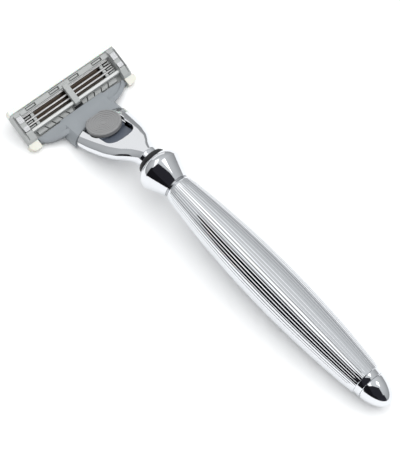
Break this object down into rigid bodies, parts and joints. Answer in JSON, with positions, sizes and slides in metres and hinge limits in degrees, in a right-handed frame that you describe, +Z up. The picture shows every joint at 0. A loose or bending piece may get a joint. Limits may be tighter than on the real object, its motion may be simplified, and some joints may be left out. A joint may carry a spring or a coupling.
{
  "type": "cartridge razor",
  "caption": "Hand razor with a chromed barrel handle, a wide neck with a push button, and a pivoting multi-blade shaving cartridge.",
  "frame": {"origin": "centre of the bounding box at table level", "axes": "+X along the razor toward the butt, +Y along the blades, +Z up from the table"},
  "size_m": [0.1458, 0.0418, 0.0192],
  "materials": {
    "chromed_metal": "bright mirror plating over turned metal",
    "stud_steel": "plain steel rod",
    "black_rubber": "dull black rubber",
    "dark_plastic": "dark blue-grey moulding",
    "grey_button_plastic": "satin mid grey",
    "black_plastic": "satin black",
    "spring_wire": "drawn wire",
    "grey_connector_plastic": "satin mid grey",
    "light_grey_plastic": "satin light grey",
    "strip_compound": "waxy white with a faint green cast",
    "guard_elastomer": "soft cream",
    "support_steel": "bright rolled steel",
    "blade_steel": "ground and polished",
    "clip_aluminium": "bright rolled sheet"
  },
  "bodies": {
    "handle": {"neck": "chromed_metal", "neck_stud": "stud_steel", "o_ring": "black_rubber", "bulb": "chromed_metal", "collar_ring": "chromed_metal", "barrel": "chromed_metal", "end_cap": "chromed_metal", "plunger_spring": "spring_wire"},
    "ejector": {"ejector_slider": "dark_plastic", "button_cap": "grey_button_plastic"},
    "plunger": {"plunger": "black_plastic"},
    "connector": {"connector": "grey_connector_plastic"},
    "cartridge": {"housing": "light_grey_plastic", "lubricating_strip": "strip_compound", "guard_fins": "guard_elastomer", "clip_left": "clip_aluminium", "clip_right": "clip_aluminium"},
    "blade_unit_1": {"blade_support_1": "support_steel", "blade_1": "blade_steel"},
    "blade_unit_2": {"blade_support_2": "support_steel", "blade_2": "blade_steel"},
    "blade_unit_3": {"blade_support_3": "support_steel", "blade_3": "blade_steel"}
  },
  "joints": [
    {"name": "button_slide", "type": "slide", "parent": "handle", "child": "ejector", "axis": [-0.9942, 0, -0.108], "range_m": [0, 0.0033], "stiffness_N_per_m": 600, "springref_m": -0.002},
    {"name": "refill_pull", "type": "slide", "parent": "ejector", "child": "connector", "axis": [-0.9942, 0, -0.108], "range_m": [0, 0.014]},
    {"name": "cartridge_pivot", "type": "hinge", "parent": "connector", "child": "cartridge", "pos_m": [-0.06061, 0, 0.00136], "axis": [0, 1, 0], "range_deg": [0, 40], "stiffness_Nm_per_rad": 0.012, "springref_deg": -20.05},
    {"name": "plunger_slide", "type": "slide", "parent": "handle", "child": "plunger", "axis": [0.9942, 0, 0.108], "range_m": [0, 0.0013], "deforming": ["plunger_spring"]},
    {"name": "blade_1_float", "type": "slide", "parent": "cartridge", "child": "blade_unit_1", "axis": [0.4131, 0, 0.9107], "range_m": [0, 0.0002], "stiffness_N_per_m": 800, "springref_m": -0.0002},
    {"name": "blade_2_float", "type": "slide", "parent": "cartridge", "child": "blade_unit_2", "axis": [0.4131, 0, 0.9107], "range_m": [0, 0.0002], "stiffness_N_per_m": 800, "springref_m": -0.0002},
    {"name": "blade_3_float", "type": "slide", "parent": "cartridge", "child": "blade_unit_3", "axis": [0.4131, 0, 0.9107], "range_m": [0, 0.0002], "stiffness_N_per_m": 800, "springref_m": -0.0002}
  ],
  "couplings": [
    {"joint": "plunger_slide", "follows": "cartridge_pivot", "m_per_rad": 0.001719}
  ]
}
